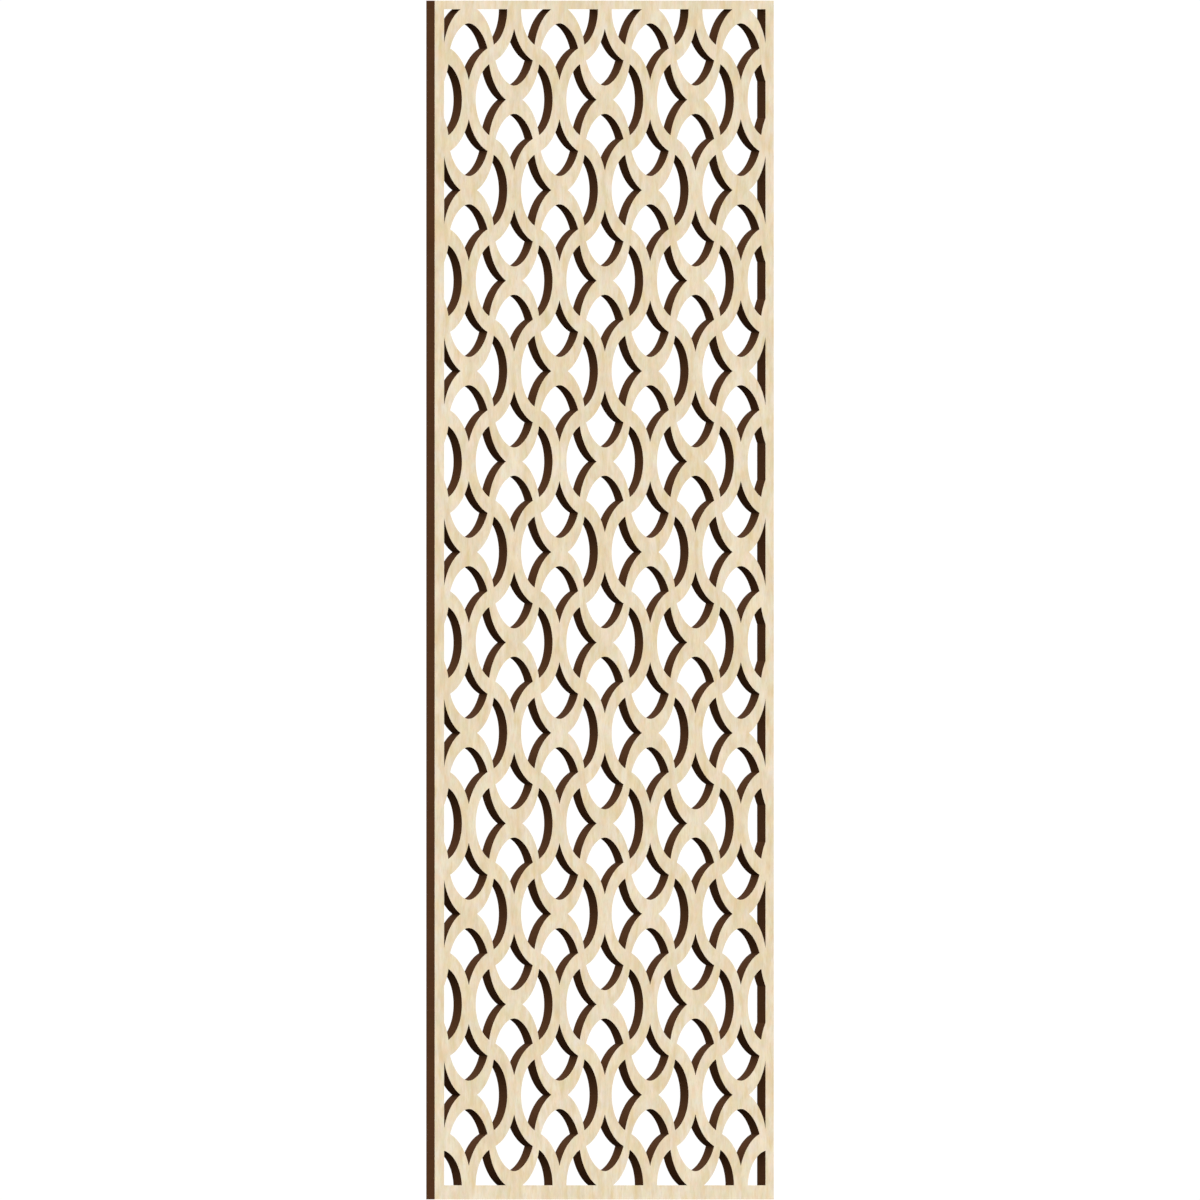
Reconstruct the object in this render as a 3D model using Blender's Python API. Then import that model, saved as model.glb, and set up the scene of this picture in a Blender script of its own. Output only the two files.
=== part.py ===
"""Carved fretwork grille: one tall flat board with a wavy lattice cut right through it.

The board stands in the XZ plane with +Z up. Its back lies at y = 0 and its front at y = -THICKNESS.
The origin is on the back face, in the lattice crossing on the middle column nearest mid-height.

The lattice repeats about crossings, where two arches touch back to back. Crossings stand in rows, and
every other row is set half a period aside. Two kinds of opening belong to each crossing:
  a bow to its left and to its right, between the arches and a long wavy band,
  a spade above and below, under the arch, that runs to a point between two wavy bands.
Every edge of the lattice is an arc of a circle, and each circle is placed from a crossing.
In the window's two lower corners the arches are left out, so the opening there is part of one circle.
"""
import math

import bmesh
import bpy
from mathutils import Vector

# Board, in metres
PANEL_WIDTH = 0.5937
PANEL_HEIGHT = 1.1811
THICKNESS = 0.0101
LEFT_STILE = 0.0165
RIGHT_STILE = 0.0144
TOP_RAIL = 0.0085
BOTTOM_RAIL = 0.0139

# Lattice: the window is ROW_GAPS row pitches high, with a row of crossings on its top and bottom edge
COLUMN_PERIOD = 0.15875
ROW_GAPS = 13
ROWS_BELOW_ORIGIN = 6

# Wavy band: a ring around the belly circle of each bow
BELLY_CENTRE_X = 0.0296
BELLY_RADIUS = 0.0377
WAVE_WIDTH = 0.0156

# Arch, right half: its outer and inner circle, which leave it thicker at the crown
ARCH_OUTER_CENTRE = Vector((-0.0063, 0.0470))
ARCH_OUTER_RADIUS = 0.05135
ARCH_INNER_CENTRE = Vector((-0.00665, 0.0556))
ARCH_INNER_RADIUS = 0.0429
CROWN_RADIUS = 0.0236

# Lower corners: how far the belly circle of the opening there is set down
CORNER_DROP = 0.0030

# Straight steps that stand for each arc
BELLY_STEPS = 6
HEEL_STEPS = 3
CROWN_STEPS = 1
SHOULDER_STEPS = 2
WAIST_STEPS = 3
CORNER_QUARTER_STEPS = 4

MERGE_DISTANCE = 0.000001
MAPLE_COLOUR = (0.84, 0.71, 0.51, 1.0)
MAPLE_ROUGHNESS = 0.6

# Worked out from the driving sizes
WINDOW_WIDTH = PANEL_WIDTH - LEFT_STILE - RIGHT_STILE
ROW_PITCH = (PANEL_HEIGHT - TOP_RAIL - BOTTOM_RAIL) / ROW_GAPS
WINDOW_RIGHT = WINDOW_WIDTH / 2
WINDOW_LEFT = -WINDOW_RIGHT
WINDOW_BOTTOM = -ROWS_BELOW_ORIGIN * ROW_PITCH
WINDOW_TOP = (ROW_GAPS - ROWS_BELOW_ORIGIN) * ROW_PITCH


def clear_scene():
    """Remove every object that the file opened with."""
    for thing in list(bpy.data.objects):
        bpy.data.objects.remove(thing, do_unlink=True)


def right_crossing(centre_a, radius_a, centre_b, radius_b):
    """Of the two points where two circles cross, the one further right."""
    between = centre_b - centre_a
    distance = between.length
    along = (radius_a ** 2 - radius_b ** 2 + distance ** 2) / (2 * distance)
    half_chord = math.sqrt(radius_a ** 2 - along ** 2)
    middle = centre_a + between * (along / distance)
    sideways = Vector((-between.y, between.x)) * (half_chord / distance)
    return max(middle + sideways, middle - sideways, key=lambda point: point.x)


def arc(centre, start, end, steps):
    """Points on the shorter way round from start towards end, without end itself."""
    spoke = start - centre
    turn = math.atan2(spoke.cross(end - centre), spoke.dot(end - centre))
    points = []
    for step in range(steps):
        angle = turn * step / steps
        cosine, sine = math.cos(angle), math.sin(angle)
        points.append(centre + Vector((spoke.x * cosine - spoke.y * sine, spoke.x * sine + spoke.y * cosine)))
    return points


def with_mirror_image(points, across):
    """Add the points' mirror image, without doubling what lies on the mirror line.

    The points are mirrored across x = 0 where across is 0, and across z = 0 where it is 1.
    """
    flip = Vector((-1, 1)) if across == 0 else Vector((1, -1))
    image = [point * flip for point in reversed(points) if abs(point[across]) > MERGE_DISTANCE]
    return points + image


def bow_outline():
    """The opening to the right of a crossing, from its heel at the crossing round to the belly."""
    belly_centre = Vector((BELLY_CENTRE_X, 0))
    tip = right_crossing(ARCH_OUTER_CENTRE, ARCH_OUTER_RADIUS, belly_centre, BELLY_RADIUS)
    reach = math.sqrt(ARCH_OUTER_RADIUS ** 2 - ARCH_OUTER_CENTRE.y ** 2)
    heel = Vector((ARCH_OUTER_CENTRE.x + reach, 0))
    apex = Vector((BELLY_CENTRE_X + BELLY_RADIUS, 0))
    upper_half = arc(ARCH_OUTER_CENTRE, heel, tip, HEEL_STEPS)
    upper_half += arc(belly_centre, tip, apex, BELLY_STEPS // 2)
    return with_mirror_image(upper_half + [apex], 1)


def corner_outline():
    """The opening in a lower corner of the window: the whole belly circle of a bow, set down a little."""
    centre = Vector((BELLY_CENTRE_X, -CORNER_DROP))
    compass = [centre + Vector(way) * BELLY_RADIUS for way in ((1, 0), (0, 1), (-1, 0), (0, -1))]
    outline = []
    for start, end in zip(compass, compass[1:] + compass[:1]):
        outline += arc(centre, start, end, CORNER_QUARTER_STEPS)
    return outline


def spade_outline():
    """The opening above a crossing, from the crown of the arch up to the point."""
    rise = math.sqrt((ARCH_INNER_RADIUS - CROWN_RADIUS) ** 2 - ARCH_INNER_CENTRE.x ** 2)
    crown_centre = Vector((0, ARCH_INNER_CENTRE.y - rise))
    crown = crown_centre - Vector((0, CROWN_RADIUS))
    outwards = (crown_centre - ARCH_INNER_CENTRE).normalized()
    shoulder = ARCH_INNER_CENTRE + outwards * ARCH_INNER_RADIUS
    wave_centre = Vector((COLUMN_PERIOD / 2 - BELLY_CENTRE_X, ROW_PITCH))
    wave_radius = BELLY_RADIUS + WAVE_WIDTH
    corner = right_crossing(ARCH_INNER_CENTRE, ARCH_INNER_RADIUS, wave_centre, wave_radius)
    drop = math.sqrt(wave_radius ** 2 - wave_centre.x ** 2)
    point = Vector((0, wave_centre.y - drop))
    right_half = arc(crown_centre, crown, shoulder, CROWN_STEPS)
    right_half += arc(ARCH_INNER_CENTRE, shoulder, corner, SHOULDER_STEPS)
    right_half += arc(wave_centre, corner, point, WAIST_STEPS)
    return with_mirror_image(right_half + [point], 0)


def lattice_outlines():
    """Every opening of the lattice that reaches the window, each as a list of XZ points."""
    bow, corner, spade = bow_outline(), corner_outline(), spade_outline()
    reach = math.ceil(WINDOW_WIDTH / COLUMN_PERIOD / 2)
    outlines = []
    for row in range(-ROWS_BELOW_ORIGIN, ROW_GAPS - ROWS_BELOW_ORIGIN + 1):
        for column in range(-reach - 1, reach + 1):
            crossing = Vector(((column + row % 2 / 2) * COLUMN_PERIOD, row * ROW_PITCH))
            at_corner = row == -ROWS_BELOW_ORIGIN and abs(crossing.x) > WINDOW_RIGHT
            for side in (-1, 1):
                beside = corner if at_corner else bow
                outlines.append([crossing + point * Vector((side, 1)) for point in beside])
                outlines.append([crossing + point * Vector((1, side)) for point in spade])
    return outlines


def add_openings(panel):
    """Lay the openings on the front plane and trim them to the window, which leaves their outlines."""
    for outline in lattice_outlines():
        panel.faces.new([panel.verts.new((point.x, -THICKNESS, point.y)) for point in outline])
    for place, outward in (
        ((WINDOW_LEFT, 0, 0), (-1, 0, 0)),
        ((WINDOW_RIGHT, 0, 0), (1, 0, 0)),
        ((0, 0, WINDOW_BOTTOM), (0, 0, -1)),
        ((0, 0, WINDOW_TOP), (0, 0, 1)),
    ):
        pieces = panel.verts[:] + panel.edges[:] + panel.faces[:]
        bmesh.ops.bisect_plane(
            panel,
            geom=pieces,
            dist=MERGE_DISTANCE,
            plane_co=place,
            plane_no=outward,
            clear_outer=True,
        )
    bmesh.ops.delete(panel, geom=panel.faces[:], context="FACES_ONLY")


def add_outer_edge(panel):
    """Draw the board's own rectangle around the openings."""
    left, right = WINDOW_LEFT - LEFT_STILE, WINDOW_RIGHT + RIGHT_STILE
    bottom, top = WINDOW_BOTTOM - BOTTOM_RAIL, WINDOW_TOP + TOP_RAIL
    places = ((left, bottom), (right, bottom), (right, top), (left, top))
    corners = [panel.verts.new((x, -THICKNESS, z)) for x, z in places]
    for start, end in zip(corners, corners[1:] + corners[:1]):
        panel.edges.new((start, end))


def maple():
    """Pale maple with a satin face."""
    material = bpy.data.materials.new("maple")
    material.use_nodes = True
    shader = material.node_tree.nodes["Principled BSDF"]
    shader.inputs["Base Color"].default_value = MAPLE_COLOUR
    shader.inputs["Roughness"].default_value = MAPLE_ROUGHNESS
    shader.inputs["Metallic"].default_value = 0.0
    material.diffuse_color = MAPLE_COLOUR
    return material


def build_panel():
    """Fill the front between the outlines and the board's edge, then push it back to the thickness."""
    panel = bmesh.new()
    add_openings(panel)
    add_outer_edge(panel)
    bmesh.ops.triangle_fill(panel, edges=panel.edges[:], use_beauty=True, normal=(0, -1, 0))
    pushed = bmesh.ops.extrude_face_region(panel, geom=panel.faces[:])
    back = [piece for piece in pushed["geom"] if isinstance(piece, bmesh.types.BMVert)]
    bmesh.ops.translate(panel, verts=back, vec=(0, THICKNESS, 0))
    bmesh.ops.recalc_face_normals(panel, faces=panel.faces[:])
    mesh = bpy.data.meshes.new("fretwork_panel")
    panel.to_mesh(mesh)
    panel.free()
    mesh.materials.append(maple())
    board = bpy.data.objects.new("fretwork_panel", mesh)
    bpy.context.scene.collection.objects.link(board)


clear_scene()
build_panel()
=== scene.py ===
"""Carved fretwork grille: a pale maple board cut through with a wavy lattice, on a plain stage."""

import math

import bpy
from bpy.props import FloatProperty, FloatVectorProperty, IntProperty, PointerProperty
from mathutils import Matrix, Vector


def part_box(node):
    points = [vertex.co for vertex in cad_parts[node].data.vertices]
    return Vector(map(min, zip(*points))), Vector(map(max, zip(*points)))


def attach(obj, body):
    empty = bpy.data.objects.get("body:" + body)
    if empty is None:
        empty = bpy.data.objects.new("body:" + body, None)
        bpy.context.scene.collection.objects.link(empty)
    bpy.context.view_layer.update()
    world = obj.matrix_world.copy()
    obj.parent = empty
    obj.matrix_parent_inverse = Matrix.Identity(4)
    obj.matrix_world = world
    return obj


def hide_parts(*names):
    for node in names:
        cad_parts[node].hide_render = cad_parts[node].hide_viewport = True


bl_info = {
    "name": "Fretwork Grille",
    "version": (1, 0, 0),
    "blender": (4, 5, 0),
    "location": "3D View > Sidebar > Fretwork",
    "description": "Cuts a maple fretwork grille and stands it in soft studio light",
    "category": "Object",
}

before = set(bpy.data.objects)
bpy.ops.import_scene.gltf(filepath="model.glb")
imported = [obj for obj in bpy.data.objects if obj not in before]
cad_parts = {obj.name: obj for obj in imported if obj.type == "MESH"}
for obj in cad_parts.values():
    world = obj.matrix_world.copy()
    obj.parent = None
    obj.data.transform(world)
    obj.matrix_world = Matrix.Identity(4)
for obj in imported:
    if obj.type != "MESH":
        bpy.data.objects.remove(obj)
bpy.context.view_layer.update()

NODE = "fretwork_panel"
BODY = "root"
BOARD_LOW, BOARD_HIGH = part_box(NODE)

# Drawing the openings, in metres and radians
MERGE_DISTANCE = 0.000002
FIRST_POINT_SIZE = 0.01  # side of the small square that shrinks to an outline's first point
ROW_TOLERANCE = 0.01  # how near its row the middle of a bow lies
SMOOTH_ANGLE = math.radians(20)
FACING_LEAST = 0.5  # a face that looks this much along Y is front or back, and no cut edge

# Layers of the finishes: the detail of each one's noise and the offset that keeps it apart
GRAIN_LAYER = (4, (0, 0, 0))
FIBRE_LAYER = (2, (7, 0, 3))
BAND_LAYER = (2, (4.5, 0.5, 6.5))
FIGURE_LAYER = (3, (3, 0, 11))
WARM_COOL_LAYER = (3, (2.5, 0.5, 8.5))
ROSY_STRAW_LAYER = (3, (9.5, 3.5, 1.5))
FLECK_LAYER = (1, (1, 0, 5))
STREAK_LAYER = (3, (0, 0, 0))
STAIN_LAYER = (2, (5, 0, 0))
LAYER_ROUGHNESS = 0.6

# Maple: shares of the layers, the values at which colours begin and end, and the relief
BENDS_PER_METRE, BEND_DETAIL = (14, 14, 9), 2
FIBRES_PER_GRAIN = 5
FIBRE_SHARE = 0.36
BAND_SHARE = 0.33
SHADE_STOP, MIDDLE_STOP, CREAM_STOP = 0.398, 0.505, 0.612
GOLDEN_START, GOLDEN_END, GOLDEN_MOST = 0.52, 0.72, 0.8
VEIL_STOPS = (0.32, 0.68)
FLECK_WIDTH, FLECK_LENGTH = 0.0007, 0.006
FLECK_START, FLECK_END, FLECK_MOST = 0.62, 0.75, 0.45
FIBRE_RELIEF, FIBRE_HEIGHT = 0.15, 0.0002

# Cut edge: likewise
STREAK_STRETCH = 30  # a streak's length through the board over its width
STAIN_SIZE = 0.02
STAIN_SHARE = 0.4
DARK_STOP, BROWN_STOP = 0.38, 0.60
STREAK_RELIEF, STREAK_HEIGHT = 0.3, 0.0001

# Stage: which way each light shines, and how wide its patch of sky is in degrees
FRONT_WAY, BACK_WAY, SIDE_WAY = (0.15, 1.0, -0.25), (0.2, -1.0, -0.3), (1.0, 0, 0)
SOFT_SPREAD, NARROW_SPREAD = 50, 5
LIGHT_DISTANCE = 3
FLOOR_ROUGHNESS = 0.9

# Sockets of a colour mix node: its share, its two colours, and its result
MIX_SOCKETS = (0, 6, 7)
MIX_RESULT = 2


def length(name, description, default):
    """A size in metres that a user may change."""
    return FloatProperty(
        name=name, description=description, default=default, unit="LENGTH", precision=5
    )


def angle(name, description, degrees):
    """An angle that a user may change."""
    return FloatProperty(
        name=name, description=description, default=math.radians(degrees), subtype="ANGLE"
    )


def colour(name, description, default):
    """A plain colour that a user may change."""
    return FloatVectorProperty(
        name=name, description=description, default=default, size=3, min=0, max=1, subtype="COLOR"
    )


def number(name, description, default):
    """A plain factor that a user may change."""
    return FloatProperty(name=name, description=description, default=default)


class FretworkSizes(bpy.types.PropertyGroup):
    """Border and lattice of the grille. Circles are placed from a crossing of the lattice."""

    left_stile: length("Left Stile", "Width of the left border strip", 0.0165)
    right_stile: length("Right Stile", "Width of the right border strip", 0.0144)
    top_rail: length("Top Rail", "Height of the top border strip", 0.0085)
    bottom_rail: length("Bottom Rail", "Height of the bottom border strip", 0.0139)
    column_period: length("Column Period", "From one crossing to the next along a row", 0.15875)
    row_gaps: IntProperty(
        name="Row Gaps", description="Row pitches from the window's foot to its head", default=13
    )
    belly_centre: length("Belly Centre", "From a crossing to the middle of a bow's belly", 0.0296)
    belly_radius: length("Belly Radius", "Radius of a bow's belly", 0.0377)
    wave_width: length("Wave Width", "Width of the long wavy bands", 0.0156)
    arch_outer_aside: length("Arch Outer Aside", "Sideways place of the outer circle", -0.0063)
    arch_outer_height: length("Arch Outer Height", "Height of the outer circle", 0.0470)
    arch_outer_radius: length("Arch Outer Radius", "Radius of the outer circle", 0.05135)
    arch_inner_aside: length("Arch Inner Aside", "Sideways place of the inner circle", -0.00665)
    arch_inner_height: length("Arch Inner Height", "Height of the inner circle", 0.0556)
    arch_inner_radius: length("Arch Inner Radius", "Radius of the inner circle", 0.0429)
    crown_radius: length("Crown Radius", "Radius of the round crown inside an arch", 0.0236)
    corner_drop: length("Corner Drop", "How far a lower corner's opening is set down", 0.0030)
    arc_step: angle("Arc Step", "Turn from one facet of a curved edge to the next", 4.0)


class FretworkFinish(bpy.types.PropertyGroup):
    """Colours and grain of the maple faces and of the dark cut edges."""

    maple_cream: colour("Cream Maple", "Palest grain of the face", (0.887, 0.756, 0.604))
    maple_middle: colour("Middle Maple", "Ground colour of the face", (0.826, 0.680, 0.501))
    maple_shade: colour("Shaded Maple", "Darker grain of the face", (0.766, 0.605, 0.399))
    maple_golden: colour("Golden Maple", "Warm streaks of the face", (0.730, 0.552, 0.305))
    veil_warm: colour("Warm Veil", "Tint over the face's warm patches", (1.0, 1.0, 0.907))
    veil_cool: colour("Cool Veil", "Tint over the face's cool patches", (0.919, 1.0, 1.0))
    veil_rosy: colour("Rosy Veil", "Tint over the face's rosy patches", (1.0, 0.948, 1.0))
    veil_straw: colour("Straw Veil", "Tint over the straw-coloured patches", (0.982, 1.0, 0.960))
    maple_fleck: colour("Maple Fleck", "Short fine marks in the face", (0.600, 0.440, 0.250))
    maple_roughness: number("Maple Roughness", "Roughness of the bare wood", 0.55)
    grain_width: length("Grain Width", "Width of one streak of grain", 0.0084)
    grain_length: length("Grain Length", "Length of one streak of grain", 0.0190)
    figure_width: length("Figure Width", "Width of one warm streak", 0.0115)
    figure_length: length("Figure Length", "Length of one warm streak", 0.030)
    band_width: length("Band Width", "Width of one band of paler or darker wood", 0.038)
    band_length: length("Band Length", "Length of one such band", 0.080)
    patch_width: length("Patch Width", "Width of one patch that a veil tints", 0.0095)
    patch_length: length("Patch Length", "Length of one such patch", 0.0090)
    grain_wander: length("Grain Wander", "How far the grain strays sideways", 0.012)
    edge_brown: colour("Edge Brown", "Colour of the darkened cut edges", (0.0780, 0.0311, 0.0111))
    edge_dark: colour("Edge Dark", "Darkest streaks of the cut edges", (0.0666, 0.0264, 0.0092))
    edge_roughness: number("Edge Roughness", "Roughness of the cut edges", 0.85)
    edge_gloss: number("Edge Gloss", "Strength of the reflections on the cut edges", 0.06)
    streak_width: length("Streak Width", "Width of one fine streak across a cut edge", 0.0009)


class FretworkStage(bpy.types.PropertyGroup):
    """Floor, light and camera."""

    camera_azimuth: angle("Camera Azimuth", "Turn of the camera from square on", -55.76)
    camera_distance: length("Camera Distance", "From the camera to the grille's middle", 4.0)
    frame_margin: number("Frame Margin", "Image height over the grille's height", 1.001)
    floor_size: length("Floor Size", "Length of each side of the floor", 6.0)
    floor_colour: colour("Floor Colour", "Pale grey of the floor", (0.86, 0.86, 0.86))
    dome_middle: number("Dome Middle", "Brightness of the light dome at the horizon", 0.66)
    dome_slope: number("Dome Slope", "Gain in brightness from the horizon to the zenith", 0.97)
    backdrop: number("Backdrop", "Brightness of the plain white background", 1.05)
    front_light: number("Front Light", "Strength of the soft light from the front", 1.25)
    back_light: number("Back Light", "Strength of the soft light from behind", 0.6)
    side_light: number("Side Light", "Strength of the light that grazes the board", 0.86)


def leave_nothing_selected():
    """Deselect every object, so that the next operator acts on its own piece alone."""
    if bpy.context.mode != "OBJECT":
        bpy.ops.object.mode_set(mode="OBJECT")
    bpy.ops.object.select_all(action="DESELECT")


def added(name):
    """The object that the last operator added, under its own name."""
    piece = bpy.context.active_object
    piece.name = name
    piece.data.name = name
    return piece


def pick(piece):
    """Make one piece the selected and active object."""
    leave_nothing_selected()
    piece.select_set(True)
    bpy.context.view_layer.objects.active = piece


def open_up(piece):
    """Start to edit one piece, with all of it selected."""
    pick(piece)
    bpy.ops.object.mode_set(mode="EDIT")
    bpy.ops.mesh.select_all(action="SELECT")


def close_up():
    """Stop editing."""
    bpy.ops.object.mode_set(mode="OBJECT")


def settle(piece):
    """Put a piece's place and turn into its mesh."""
    pick(piece)
    bpy.ops.object.transform_apply(location=True, rotation=True, scale=True)


def shift(piece, offset):
    """Move a piece, in its mesh."""
    pick(piece)
    bpy.ops.transform.translate(value=offset)
    settle(piece)


def copied(piece):
    """A copy of a piece with its own mesh."""
    pick(piece)
    bpy.ops.object.duplicate()
    return bpy.context.active_object


def joined(pieces):
    """Make one object of several."""
    pick(pieces[0])
    for piece in pieces[1:]:
        piece.select_set(True)
    bpy.ops.object.join()
    return pieces[0]


def mirror(piece, across, merge=False):
    """Add the piece's mirror image across x = 0 or z = 0."""
    pick(piece)
    bpy.ops.object.modifier_add(type="MIRROR")
    image = piece.modifiers[-1]
    image.use_axis = (across == "X", False, across == "Z")
    image.use_mirror_merge = merge
    image.merge_threshold = MERGE_DISTANCE
    bpy.ops.object.modifier_apply(modifier=image.name)


def array(piece, count, offset):
    """Repeat a piece in a straight row."""
    pick(piece)
    bpy.ops.object.modifier_add(type="ARRAY")
    row = piece.modifiers[-1]
    row.count = count
    row.use_relative_offset = False
    row.use_constant_offset = True
    row.constant_offset_displace = offset
    row.use_merge_vertices = False
    bpy.ops.object.modifier_apply(modifier=row.name)


def on_front(place):
    """The point on the board's front face at an XZ place."""
    return Vector((place[0], BOARD_LOW.y, place[1]))


def start_outline(name, place):
    """A new outline of one point, left in edit mode with that point selected."""
    leave_nothing_selected()
    bpy.ops.mesh.primitive_plane_add(size=FIRST_POINT_SIZE, location=on_front(place))
    outline = added(name)
    settle(outline)
    open_up(outline)
    bpy.ops.mesh.merge(type="CENTER")
    return outline


def follow_arc(centre, start, end, arc_step):
    """Draw on along a circle, the shorter way round from start to end. Returns end."""
    spoke = start - centre
    turn = math.atan2(spoke.cross(end - centre), spoke.dot(end - centre))
    steps = max(1, math.ceil(abs(turn) / arc_step))
    bpy.ops.mesh.spin(steps=steps, angle=turn, center=on_front(centre), axis=(0, 1, 0))
    return end


def follow_line(start, end):
    """Draw on along a straight line. Returns end."""
    step = on_front(end) - on_front(start)
    bpy.ops.mesh.extrude_region_move(TRANSFORM_OT_translate={"value": step})
    return end


def close_outline(outline):
    """Fill an outline with one face, which also draws the edge from its last point to its first."""
    open_up(outline)
    bpy.ops.mesh.edge_face_add()
    close_up()


def right_crossing(centre_a, radius_a, centre_b, radius_b):
    """Of the two points where two circles cross, the one further right."""
    between = centre_b - centre_a
    distance = between.length
    along = (radius_a ** 2 - radius_b ** 2 + distance ** 2) / (2 * distance)
    half_chord = math.sqrt(radius_a ** 2 - along ** 2)
    middle = centre_a + between * (along / distance)
    sideways = Vector((-between.y, between.x)) * (half_chord / distance)
    return max(middle + sideways, middle - sideways, key=lambda point: point.x)


def bow(sizes):
    """The opening right of a crossing, between the two arches and the long wavy band."""
    arch = Vector((sizes.arch_outer_aside, sizes.arch_outer_height))
    belly = Vector((sizes.belly_centre, 0))
    heel = Vector((arch.x + math.sqrt(sizes.arch_outer_radius ** 2 - arch.y ** 2), 0))
    tip = right_crossing(arch, sizes.arch_outer_radius, belly, sizes.belly_radius)
    outline = start_outline("bow", heel)
    place = follow_arc(arch, heel, tip, sizes.arc_step)
    follow_arc(belly, place, belly + Vector((sizes.belly_radius, 0)), sizes.arc_step)
    mirror(outline, "Z", merge=True)
    close_outline(outline)
    return outline


def corner_bows(sizes):
    """The openings in the lower corners: the whole belly circle of a bow, set down a little."""
    leave_nothing_selected()
    bpy.ops.mesh.primitive_circle_add(
        vertices=4 * math.ceil(math.tau / sizes.arc_step / 4),
        radius=sizes.belly_radius,
        fill_type="NGON",
        location=on_front((sizes.belly_centre, -sizes.corner_drop)),
        rotation=(math.pi / 2, 0, 0),
    )
    outline = added("corner_bow")
    settle(outline)
    mirror(outline, "X")
    return outline


def spade(sizes, row_pitch):
    """The opening above a crossing, from the arch's crown to the point between two wavy bands."""
    arch = Vector((sizes.arch_inner_aside, sizes.arch_inner_height))
    gap = sizes.arch_inner_radius - sizes.crown_radius
    crown_centre = Vector((0, arch.y - math.sqrt(gap ** 2 - arch.x ** 2)))
    shoulder = arch + (crown_centre - arch).normalized() * sizes.arch_inner_radius
    wave = Vector((sizes.column_period / 2 - sizes.belly_centre, row_pitch))
    wave_radius = sizes.belly_radius + sizes.wave_width
    corner = right_crossing(arch, sizes.arch_inner_radius, wave, wave_radius)
    crown = crown_centre - Vector((0, sizes.crown_radius))
    point = Vector((0, wave.y - math.sqrt(wave_radius ** 2 - wave.x ** 2)))
    outline = start_outline("spade", crown)
    place = follow_arc(crown_centre, crown, shoulder, sizes.arc_step)
    place = follow_arc(arch, place, corner, sizes.arc_step)
    follow_arc(wave, place, point, sizes.arc_step)
    mirror(outline, "X", merge=True)
    close_outline(outline)
    return outline


def take_out(piece, low, high):
    """Delete the faces whose middle lies between two XZ corners."""
    open_up(piece)
    bpy.ops.mesh.select_all(action="DESELECT")
    close_up()
    for face in piece.data.polygons:
        middle = face.center
        face.select = low.x < middle.x < high.x and low.y < middle.z < high.y
    bpy.ops.object.mode_set(mode="EDIT")
    bpy.ops.mesh.delete(type="FACE")
    close_up()


def lattice(sizes, row_pitch, window_low, window_high):
    """All the openings as flat faces: rows of crossings, every other row half a period aside.

    In the two lower corners a rounder opening takes the place of the bow.
    """
    bows = bow(sizes)
    mirror(bows, "X")
    spades = spade(sizes, row_pitch)
    mirror(spades, "Z")
    even = joined([bows, spades])
    odd = copied(even)
    half_span = math.ceil((window_high.x - window_low.x) / sizes.column_period / 2)
    array(even, 2 * half_span + 1, (sizes.column_period, 0, 0))
    array(odd, 2 * half_span, (sizes.column_period, 0, 0))
    for half in (even, odd):
        array(half, math.ceil((sizes.row_gaps + 1) / 2), (0, 0, 2 * row_pitch))
    shift(even, (-half_span * sizes.column_period, 0, window_low.z))
    shift(odd, ((0.5 - half_span) * sizes.column_period, 0, window_low.z + row_pitch))
    openings = joined([even, odd])
    corner_crossing = half_span * sizes.column_period
    reach = Vector((sizes.belly_centre + sizes.belly_radius, ROW_TOLERANCE))
    for side in (-1, 1):
        corner = Vector((side * corner_crossing, window_low.z))
        take_out(openings, corner - reach, corner + reach)
    left_corner = corner_bows(sizes)
    right_corner = copied(left_corner)
    shift(left_corner, (-corner_crossing, 0, window_low.z))
    shift(right_corner, (corner_crossing, 0, window_low.z))
    return joined([openings, left_corner, right_corner])


def trim(piece, place, outward):
    """Cut off all that lies outside a plane."""
    open_up(piece)
    bpy.ops.mesh.bisect(
        plane_co=place, plane_no=outward, clear_outer=True, threshold=MERGE_DISTANCE
    )
    close_up()


def cut_board(openings, window_low, window_high):
    """Trim the openings to the window, draw the board round them and give it its thickness."""
    for place, outward in (
        (window_low, (-1, 0, 0)),
        (window_low, (0, 0, -1)),
        (window_high, (1, 0, 0)),
        (window_high, (0, 0, 1)),
    ):
        trim(openings, place, outward)
    low, high = BOARD_LOW, BOARD_HIGH
    place = (low.x, low.z)
    board = start_outline("maple_fretwork_panel", place)
    for corner in ((low.x, high.z), (high.x, high.z), (high.x, low.z)):
        place = follow_line(place, corner)
    close_outline(board)
    board = joined([board, openings])
    open_up(board)
    bpy.ops.mesh.delete(type="ONLY_FACE")
    bpy.ops.mesh.select_all(action="SELECT")
    bpy.ops.mesh.fill(use_beauty=True)
    bpy.ops.mesh.select_all(action="SELECT")
    bpy.ops.mesh.extrude_region_move(TRANSFORM_OT_translate={"value": (0, high.y - low.y, 0)})
    bpy.ops.mesh.select_all(action="SELECT")
    bpy.ops.mesh.normals_make_consistent(inside=False)
    close_up()
    return board


def finish_faces(piece, face_material, edge_material):
    """Finish the front and back one way and every cut edge the other, and smooth the arcs."""
    piece.data.materials.clear()
    piece.data.materials.append(face_material)
    piece.data.materials.append(edge_material)
    for face in piece.data.polygons:
        face.material_index = 0 if abs(face.normal.y) > FACING_LEAST else 1
    pick(piece)
    bpy.ops.object.shade_smooth_by_angle(angle=SMOOTH_ANGLE)


def blank_material(name):
    """A new material, its node tree and its Principled shader."""
    material = bpy.data.materials.new(name)
    material.use_nodes = True
    return material, material.node_tree, material.node_tree.nodes["Principled BSDF"]


def feed(tree, socket, given):
    """Give a socket either a value or the output that feeds it."""
    if isinstance(given, bpy.types.NodeSocket):
        tree.links.new(given, socket)
    else:
        socket.default_value = given


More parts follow.
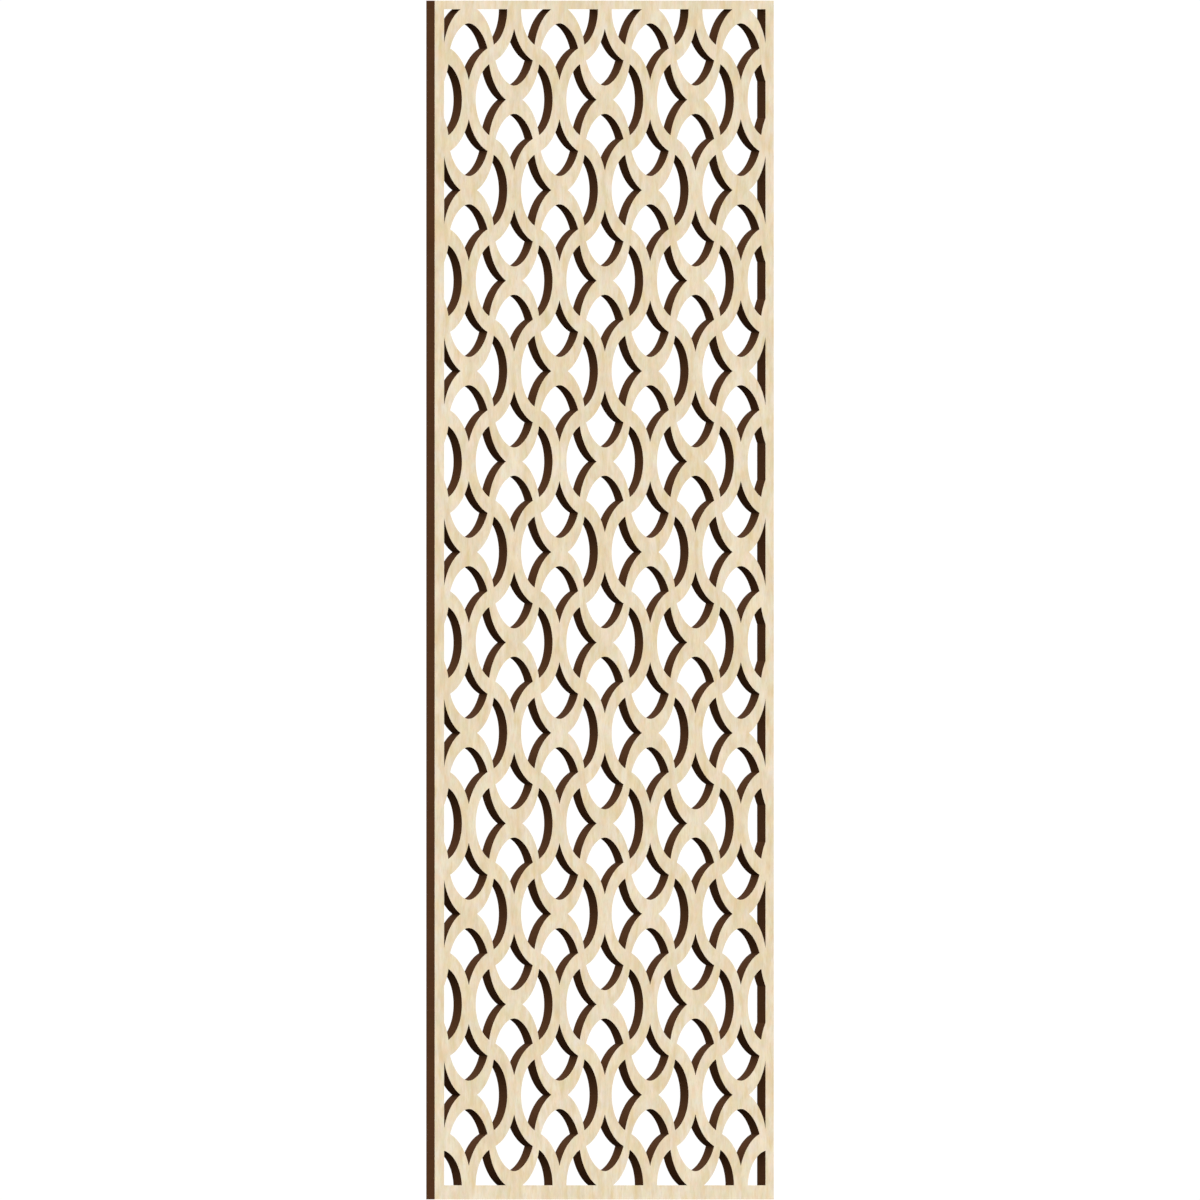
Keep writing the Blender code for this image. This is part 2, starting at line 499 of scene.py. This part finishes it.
def linked(tree, kind, **inputs):
    """A new node with the given inputs, each named with _ for a space."""
    node = tree.nodes.new(kind)
    for name, given in inputs.items():
        feed(tree, node.inputs[name.replace("_", " ")], given)
    return node


def worked_out(tree, kind, operation, *inputs):
    """The result of a math node of the given kind."""
    node = tree.nodes.new(kind)
    node.operation = operation
    for socket, given in zip(node.inputs, inputs):
        feed(tree, socket, given)
    return node.outputs[0]


def wandering_place(tree, finish):
    """Object coordinates that stray slowly sideways, so that the grain isn't ruled straight."""
    place = linked(tree, "ShaderNodeTexCoord").outputs["Object"]
    bends = linked(tree, "ShaderNodeMapping", Vector=place, Scale=BENDS_PER_METRE)
    bends = bends.outputs["Vector"]
    noise = linked(tree, "ShaderNodeTexNoise", Vector=bends, Scale=1.0, Detail=BEND_DETAIL)
    stray = noise.outputs["Color"]
    reach = (finish.grain_wander, 0, 0)
    return worked_out(tree, "ShaderNodeVectorMath", "MULTIPLY_ADD", stray, reach, place)


def stretched_noise(tree, place, size, layer):
    """One layer of noise, whose spots have the given size along X, Y and Z. Returns its value."""
    detail, offset = layer
    scale = [1 / extent for extent in size]
    spots = linked(tree, "ShaderNodeMapping", Vector=place, Scale=scale, Location=offset)
    spots = spots.outputs["Vector"]
    noise = linked(tree, "ShaderNodeTexNoise", Vector=spots, Scale=1.0, Detail=detail)
    noise.inputs["Roughness"].default_value = LAYER_ROUGHNESS
    return noise.outputs["Fac"]


def upright_noise(tree, place, width, height, layer):
    """One layer of noise with upright spots, as wide through the board as along it."""
    return stretched_noise(tree, place, (width, width, height), layer)


def blend(tree, first, second, share):
    """A weighted mean of two values. The share is the second's."""
    return linked(tree, "ShaderNodeMix", Factor=share, A=first, B=second).outputs["Result"]


def colour_mix(tree, way, share, ground, over):
    """A ground colour with some of another over it, as much as the share says."""
    mix = tree.nodes.new("ShaderNodeMix")
    mix.data_type = "RGBA"
    mix.blend_type = way
    for socket, given in zip(MIX_SOCKETS, (share, ground, over)):
        feed(tree, mix.inputs[socket], given)
    return mix.outputs[MIX_RESULT]


def ramp(tree, value, stops):
    """Colours read off a scale of (place, colour) stops."""
    scale = tree.nodes.new("ShaderNodeValToRGB")
    ends = scale.color_ramp.elements
    for end, (place, tint) in zip((ends[0], ends[1]), (stops[0], stops[-1])):
        end.position = place
        end.color = (*tint, 1)
    for place, tint in stops[1:-1]:
        ends.new(place).color = (*tint, 1)
    tree.links.new(value, scale.inputs["Fac"])
    return scale.outputs["Color"]


def bump(tree, value, strength, height):
    """A shallow relief for the shader's Normal."""
    relief = linked(tree, "ShaderNodeBump", Strength=strength, Distance=height, Height=value)
    return relief.outputs["Normal"]


def share_above(tree, value, start, end, most):
    """A share that grows from none, where the value is at its start, to the most at its end."""
    span = linked(
        tree, "ShaderNodeMapRange", Value=value, From_Min=start, From_Max=end, To_Max=most
    )
    return span.outputs["Result"]


def maple(finish):
    """Pale maple: upright grain in broad bands, golden streaks, thin veils of colour, flecks."""
    material, tree, shader = blank_material("pale_maple")
    place = wandering_place(tree, finish)
    width, height = finish.grain_width, finish.grain_length
    grain = upright_noise(tree, place, width, height, GRAIN_LAYER)
    fibre = upright_noise(tree, place, width / FIBRES_PER_GRAIN, height / 2, FIBRE_LAYER)
    bands = upright_noise(tree, place, finish.band_width, finish.band_length, BAND_LAYER)
    figure = upright_noise(tree, place, finish.figure_width, finish.figure_length, FIGURE_LAYER)
    tone = blend(tree, blend(tree, grain, fibre, FIBRE_SHARE), bands, BAND_SHARE)
    stops = (
        (SHADE_STOP, finish.maple_shade),
        (MIDDLE_STOP, finish.maple_middle),
        (CREAM_STOP, finish.maple_cream),
    )
    golden = share_above(tree, figure, GOLDEN_START, GOLDEN_END, GOLDEN_MOST)
    ground = ramp(tree, tone, stops)
    ground = colour_mix(tree, "MIX", golden, ground, (*finish.maple_golden, 1))
    for layer, veils in (
        (WARM_COOL_LAYER, (finish.veil_cool, finish.veil_warm)),
        (ROSY_STRAW_LAYER, (finish.veil_straw, finish.veil_rosy)),
    ):
        patches = upright_noise(tree, place, finish.patch_width, finish.patch_length, layer)
        veil = ramp(tree, patches, tuple(zip(VEIL_STOPS, veils)))
        ground = colour_mix(tree, "MULTIPLY", 1.0, ground, veil)
    specks = upright_noise(tree, place, FLECK_WIDTH, FLECK_LENGTH, FLECK_LAYER)
    fleck = share_above(tree, specks, FLECK_START, FLECK_END, FLECK_MOST)
    ground = colour_mix(tree, "MIX", fleck, ground, (*finish.maple_fleck, 1))
    tree.links.new(ground, shader.inputs["Base Color"])
    tree.links.new(bump(tree, fibre, FIBRE_RELIEF, FIBRE_HEIGHT), shader.inputs["Normal"])
    shader.inputs["Roughness"].default_value = finish.maple_roughness
    return material


def cut_edge(finish):
    """Dark brown cut edge with fine streaks straight through the board."""
    material, tree, shader = blank_material("dark_cut_edge")
    place = linked(tree, "ShaderNodeTexCoord").outputs["Object"]
    width = finish.streak_width
    streaks = stretched_noise(tree, place, (width, STREAK_STRETCH * width, width), STREAK_LAYER)
    stains = stretched_noise(tree, place, (STAIN_SIZE, STAIN_SIZE, STAIN_SIZE), STAIN_LAYER)
    tone = blend(tree, streaks, stains, STAIN_SHARE)
    stops = ((DARK_STOP, finish.edge_dark), (BROWN_STOP, finish.edge_brown))
    tree.links.new(ramp(tree, tone, stops), shader.inputs["Base Color"])
    tree.links.new(bump(tree, streaks, STREAK_RELIEF, STREAK_HEIGHT), shader.inputs["Normal"])
    shader.inputs["Roughness"].default_value = finish.edge_roughness
    shader.inputs["Specular IOR Level"].default_value = finish.edge_gloss
    return material


class FRETWORK_OT_cut_panel(bpy.types.Operator):
    """Cut the grille from a board of the CAD panel's size and give it its maple finish"""

    bl_idname = "fretwork.cut_panel"
    bl_label = "Cut Panel"

    def execute(self, context):
        sizes = context.scene.fretwork_sizes
        finish = context.scene.fretwork_finish
        window_low = BOARD_LOW + Vector((sizes.left_stile, 0, sizes.bottom_rail))
        window_high = BOARD_HIGH - Vector((sizes.right_stile, 0, sizes.top_rail))
        row_pitch = (window_high.z - window_low.z) / sizes.row_gaps
        openings = lattice(sizes, row_pitch, window_low, window_high)
        panel = cut_board(openings, window_low, window_high)
        finish_faces(panel, maple(finish), cut_edge(finish))
        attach(panel, BODY)
        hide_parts(NODE)
        return {"FINISHED"}


def light_dome(stage):
    """A world that the camera sees as plain white, and that gives more light from above."""
    world = bpy.data.worlds.new("light_dome")
    world.use_nodes = True
    tree = world.node_tree
    direction = linked(tree, "ShaderNodeTexCoord").outputs["Generated"]
    height = linked(tree, "ShaderNodeSeparateXYZ", Vector=direction).outputs["Z"]
    slope = worked_out(
        tree, "ShaderNodeMath", "MULTIPLY_ADD", height, stage.dome_slope, stage.dome_middle
    )
    brightness = worked_out(tree, "ShaderNodeMath", "MAXIMUM", slope, 0.0)
    seen = linked(tree, "ShaderNodeLightPath").outputs["Is Camera Ray"]
    background = tree.nodes["Background"]
    background.inputs["Color"].default_value = (1, 1, 1, 1)
    feed(tree, background.inputs["Strength"], blend(tree, brightness, stage.backdrop, seen))
    bpy.context.scene.world = world


def far_light(name, way, strength, spread):
    """A far light that shines one way from a round patch of sky."""
    leave_nothing_selected()
    bpy.ops.object.light_add(type="SUN", location=-LIGHT_DISTANCE * Vector(way))
    lamp = added(name)
    lamp.rotation_euler = Vector(way).to_track_quat("-Z", "Y").to_euler()
    lamp.data.energy = strength
    lamp.data.angle = math.radians(spread)


def pale_floor(stage):
    """A plain pale floor under the grille, which doesn't throw light back up at it."""
    leave_nothing_selected()
    middle = (BOARD_LOW + BOARD_HIGH) / 2
    place = (middle.x, middle.y, BOARD_LOW.z)
    bpy.ops.mesh.primitive_plane_add(size=stage.floor_size, location=place)
    floor = added("floor")
    settle(floor)
    material, _, shader = blank_material("pale_floor")
    shader.inputs["Base Color"].default_value = (*stage.floor_colour, 1)
    shader.inputs["Roughness"].default_value = FLOOR_ROUGHNESS
    floor.data.materials.append(material)
    floor.visible_diffuse = False
    floor.visible_glossy = False
    floor.visible_shadow = False


def level_camera(stage):
    """A level camera without perspective that the grille fills from top to bottom."""
    leave_nothing_selected()
    turn = stage.camera_azimuth
    back = Vector((math.sin(turn), -math.cos(turn), 0))
    place = (BOARD_LOW + BOARD_HIGH) / 2 + back * stage.camera_distance
    bpy.ops.object.camera_add(location=place, rotation=(math.pi / 2, 0, turn))
    camera = added("camera")
    camera.data.type = "ORTHO"
    camera.data.ortho_scale = (BOARD_HIGH.z - BOARD_LOW.z) * stage.frame_margin
    bpy.context.scene.camera = camera


class FRETWORK_OT_set_stage(bpy.types.Operator):
    """Put down the floor and set the light and the camera"""

    bl_idname = "fretwork.set_stage"
    bl_label = "Set Stage"

    def execute(self, context):
        stage = context.scene.fretwork_stage
        pale_floor(stage)
        light_dome(stage)
        far_light("front_light", FRONT_WAY, stage.front_light, SOFT_SPREAD)
        far_light("back_light", BACK_WAY, stage.back_light, SOFT_SPREAD)
        far_light("side_light", SIDE_WAY, stage.side_light, NARROW_SPREAD)
        level_camera(stage)
        context.scene.view_settings.view_transform = "Standard"
        return {"FINISHED"}


class FRETWORK_PT_sidebar(bpy.types.Panel):
    """Sizes, finish and stage of the grille"""

    bl_idname = "FRETWORK_PT_sidebar"
    bl_label = "Fretwork Grille"
    bl_space_type = "VIEW_3D"
    bl_region_type = "UI"
    bl_category = "Fretwork"

    def draw(self, context):
        layout = self.layout
        scene = context.scene
        groups = (
            (scene.fretwork_sizes, ()),
            (scene.fretwork_finish, (FRETWORK_OT_cut_panel,)),
            (scene.fretwork_stage, (FRETWORK_OT_set_stage,)),
        )
        for group, operators in groups:
            box = layout.box()
            for name in group.bl_rna.properties.keys():
                if name not in ("rna_type", "name"):
                    box.prop(group, name)
            for operator in operators:
                layout.operator(operator.bl_idname)


CLASSES = (
    FretworkSizes,
    FretworkFinish,
    FretworkStage,
    FRETWORK_OT_cut_panel,
    FRETWORK_OT_set_stage,
    FRETWORK_PT_sidebar,
)


def register():
    """Add the classes and keep each group of properties on the scene."""
    for each in CLASSES:
        bpy.utils.register_class(each)
    bpy.types.Scene.fretwork_sizes = PointerProperty(type=FretworkSizes)
    bpy.types.Scene.fretwork_finish = PointerProperty(type=FretworkFinish)
    bpy.types.Scene.fretwork_stage = PointerProperty(type=FretworkStage)


def unregister():
    """Take the properties and the classes away again."""
    del bpy.types.Scene.fretwork_stage
    del bpy.types.Scene.fretwork_finish
    del bpy.types.Scene.fretwork_sizes
    for each in reversed(CLASSES):
        bpy.utils.unregister_class(each)


def main():
    """Make the grille and its stage."""
    register()
    bpy.ops.fretwork.cut_panel()
    bpy.ops.fretwork.set_stage()


if __name__ == "__main__":
    main()
